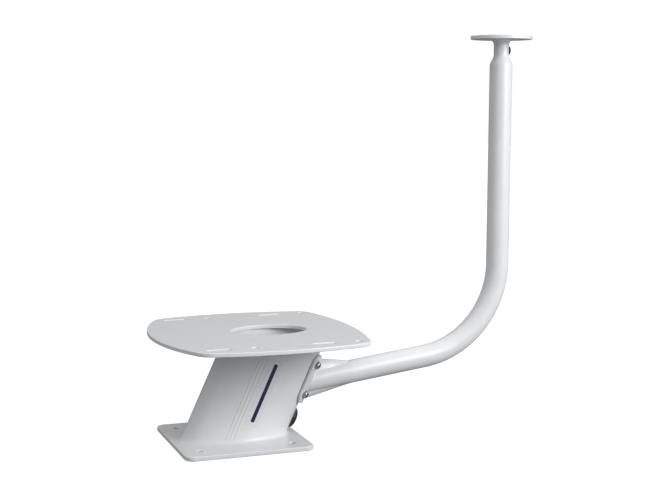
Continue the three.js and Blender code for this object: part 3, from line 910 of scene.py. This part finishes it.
def foot_bolt(grip):
    """A button head with a hexagon socket, on a shank with a chamfered end."""
    head = [(0, -grip), (BOLT_SHANK_R - 0.5, -grip), (BOLT_SHANK_R, 0.5 - grip), (BOLT_SHANK_R, 0),
            (BOLT_HEAD_R, 0), (BOLT_HEAD_R, BOLT_HEAD_H * HEAD_RIM)]
    radii = [0, 0, 0, 0, 0.3, 0]
    for k in range(1, 11):
        a = math.pi / 2 * k / 10
        rise = HEAD_RIM + (1 - HEAD_RIM) * math.sin(a)
        head.append((BOLT_HEAD_R * math.cos(a) ** 0.8, BOLT_HEAD_H * rise))
        radii.append(0)
    head[-1] = (0, BOLT_HEAD_H)
    body = turned("foot_bolt", filleted(head, radii), segments=64)
    socket = prism("socket", hexagon(SOCKET_R * 2), BOLT_HEAD_H - SOCKET_DEPTH, BOLT_HEAD_H + 1)
    return cut(body, socket)


def washer():
    profile = [(BOLT_CLEAR_R, 0), (WASHER_R, 0), (WASHER_R, WASHER_T), (BOLT_CLEAR_R, WASHER_T)]
    return turned("washer", filleted(profile, [0.15, 0.25, 0.25, 0.15], closed=True), segments=64, wrap=True)


def nut():
    """A hexagon nut with its corners turned down on both faces."""
    corner = NUT_ACROSS / math.sqrt(3)
    wide = corner + 0.1
    drop = NUT_CHAMFER * 0.6
    cone = [(0, 0), (corner - NUT_CHAMFER, 0), (wide, drop), (wide, NUT_H - drop),
            (corner - NUT_CHAMFER, NUT_H), (0, NUT_H)]
    body = combined(prism("foot_nut", hexagon(NUT_ACROSS), 0, NUT_H), [turned("cone", cone, 64)], "INTERSECT")
    return cut(body, rod("thread", BOLT_SHANK_R + 0.05, -1, NUT_H + 1))


# ---------- assembly ----------
def add_tower():
    painted("base_plate", base_plate(), flat=True)
    painted("radar_plate", radar_plate(), flat=True)
    painted("tower_column", tower_column())
    painted("base_weld", weld("base_weld", BASE_TOP, 1), crease=60)
    painted("top_weld", weld("top_weld", PLATE_UNDER, -1), crease=60)
    for side, name in ((-1, "near"), (1, "far")):
        film = side_patch("label_film", side, LABEL, FILM_LIFT, FILM_THICK, 2)
        add_piece(f"{name}_side_label_film", film, LABEL_FILM, "label_vinyl", [f"{name}_side_label"])
        ink = side_patch("label_ink", side, BAND, FILM_THICK, INK_THICK, 1.5)
        add_piece(f"{name}_side_label_band", ink, LABEL_INK, "label_vinyl")
    plug = grommet("column_grommet", LOWER_GROMMET_R, LOWER_GROMMET_PROUD, *LOWER_GROMMET_STEM, AFT_R, WALL)
    add_piece("column_grommet_fine", plug, BLACK_RUBBER, "black_rubber", ["column_grommet"],
              matrix=aft_frame(0, LOWER_GROMMET_S))


def add_arm():
    sheet = saddle("arm_gasket", *GASKET, trim=GASKET_TRIM)
    add_piece("arm_gasket_fine", sheet, GREY_RUBBER, "grey_rubber", ["arm_gasket"])
    painted("arm_foot", arm_foot(), crease=60)
    painted("arm_tube", arm_tube(), crease=50)
    upright = Matrix.Translation((ARM_X, 0, 0))
    painted("neck_reducer", neck_reducer(), matrix=upright)
    painted("neck_pipe", neck_pipe(), matrix=upright)
    painted("neck_weld", neck_weld(), matrix=upright, crease=60)
    painted("antenna_disc", antenna_disc(), matrix=upright, flat=True)
    plug = grommet("neck_grommet", NECK_GROMMET_R, NECK_GROMMET_PROUD, *NECK_GROMMET_STEM, NECK_R, NECK_WALL)
    at = upright @ Matrix.Translation((0, 0, NECK_GROMMET_Z)) @ Matrix.Rotation(math.pi / 2, 4, "Y")
    add_piece("neck_grommet_fine", plug, BLACK_RUBBER, "black_rubber", ["neck_grommet"], matrix=at)


def add_fasteners():
    seat_r = FLANGE[1] + SEAT_GAP
    head_r = seat_r + WASHER_T + HEAD_GAP
    inner_r = AFT_R - WALL - INNER_SEAT - WASHER_T
    nut_r = inner_r - NUT_GAP - NUT_H
    tail_r = nut_r - BOLT_TAIL
    bolt_mesh = foot_bolt(head_r - tail_r)
    washer_mesh = washer()
    nut_mesh = nut()
    for side, sign in (("near", -1), ("far", 1)):
        for level, s in zip(("lower", "upper"), BOLT_STATIONS):
            kit = (("foot_bolt", bolt_mesh, head_r), ("foot_washer", washer_mesh, seat_r),
                   ("inner_washer", washer_mesh, inner_r), ("foot_nut", nut_mesh, nut_r))
            for kind, mesh, r in kit:
                node = f"{kind}_{level}_{side}"
                at = aft_frame(sign * BOLT_ANGLE, s) @ Matrix.Translation((0, 0, r))
                add_piece(f"{node}_fine", mesh, STEEL, "stainless_steel", [node], matrix=at)


# ---------- stage, camera and light ----------
def add_floor():
    slab = prism("floor", circle(0, 0, FLOOR_R, steps=96), -FLOOR_DROP - FLOOR_THICK, -FLOOR_DROP)
    floor = bpy.data.objects.new("floor", slab)
    n = Nodes("pale_floor")
    n.link(n.ramp(n.noise(2, 2), (0.3, 0.19), (0.7, 0.21)), n.shader.inputs["Base Color"])
    n.set(Roughness=0.9, Emission_Color=(1, 1, 1, 1))
    glow = n.node("ShaderNodeMath")
    glow.operation = "MULTIPLY"
    glow.inputs[1].default_value = FLOOR_GLOW
    n.link(n.tree.nodes.new("ShaderNodeLightPath").outputs["Is Camera Ray"], glow.inputs[0])
    n.link(glow.outputs["Value"], n.shader.inputs["Emission Strength"])
    floor.data.materials.append(n.material)
    bpy.context.scene.collection.objects.link(floor)


def add_camera():
    data = bpy.data.cameras.new("camera")
    data.lens = CAMERA_LENS
    data.clip_end = CAMERA_CLIP_END
    camera = bpy.data.objects.new("camera", data)
    bpy.context.scene.collection.objects.link(camera)
    turn = Matrix.Rotation(-CAMERA_YAW, 4, "Z") @ Matrix.Rotation(math.pi / 2 - CAMERA_PITCH, 4, "X")
    roll = Matrix.Rotation(CAMERA_ROLL, 4, "Z")
    camera.matrix_world = Matrix.Translation(Vector(CAMERA_AT) * MM) @ turn @ roll
    bpy.context.scene.camera = camera


def add_area(name, at, target, size, power):
    data = bpy.data.lights.new(name, "AREA")
    data.shape = "DISK"
    data.size = size * MM
    data.energy = power
    light = bpy.data.objects.new(name, data)
    bpy.context.scene.collection.objects.link(light)
    light.location = Vector(at) * MM
    light.rotation_euler = (Vector(target) - Vector(at)).to_track_quat("-Z", "Y").to_euler()


def add_world():
    """A soft room lit from overhead, from forward and a little from aft; camera rays see plain white."""
    world = bpy.data.worlds.new("studio")
    world.use_nodes = True
    tree = world.node_tree
    background = tree.nodes["Background"]
    background.inputs["Color"].default_value = (1, 1, 1, 1)
    place = tree.nodes.new("ShaderNodeTexCoord").outputs["Generated"]
    total = None
    for direction, strength in ROOM_LIGHT:
        facing = tree.nodes.new("ShaderNodeVectorMath")
        facing.operation = "DOT_PRODUCT"
        facing.inputs[1].default_value = direction
        tree.links.new(place, facing.inputs[0])
        lit = tree.nodes.new("ShaderNodeMath")
        lit.operation = "MAXIMUM"
        lit.inputs[1].default_value = 0
        tree.links.new(facing.outputs["Value"], lit.inputs[0])
        glow = tree.nodes.new("ShaderNodeMath")
        glow.operation = "MULTIPLY_ADD"
        glow.inputs[1].default_value = strength
        glow.inputs[2].default_value = 0
        tree.links.new(lit.outputs["Value"], glow.inputs[0])
        if total:
            tree.links.new(total, glow.inputs[2])
        total = glow.outputs["Value"]
    seen = tree.nodes.new("ShaderNodeLightPath")
    mix = tree.nodes.new("ShaderNodeMix")
    mix.inputs["B"].default_value = 1.0
    tree.links.new(seen.outputs["Is Camera Ray"], mix.inputs["Factor"])
    tree.links.new(total, mix.inputs["A"])
    tree.links.new(mix.outputs["Result"], background.inputs["Strength"])
    bpy.context.scene.world = world


add_camera()
add_tower()
add_arm()
add_fasteners()
add_floor()
add_world()
add_area("key", KEY_AT, KEY_TARGET, KEY_SIZE, KEY_POWER)
bpy.context.scene.view_settings.view_transform = "Standard"
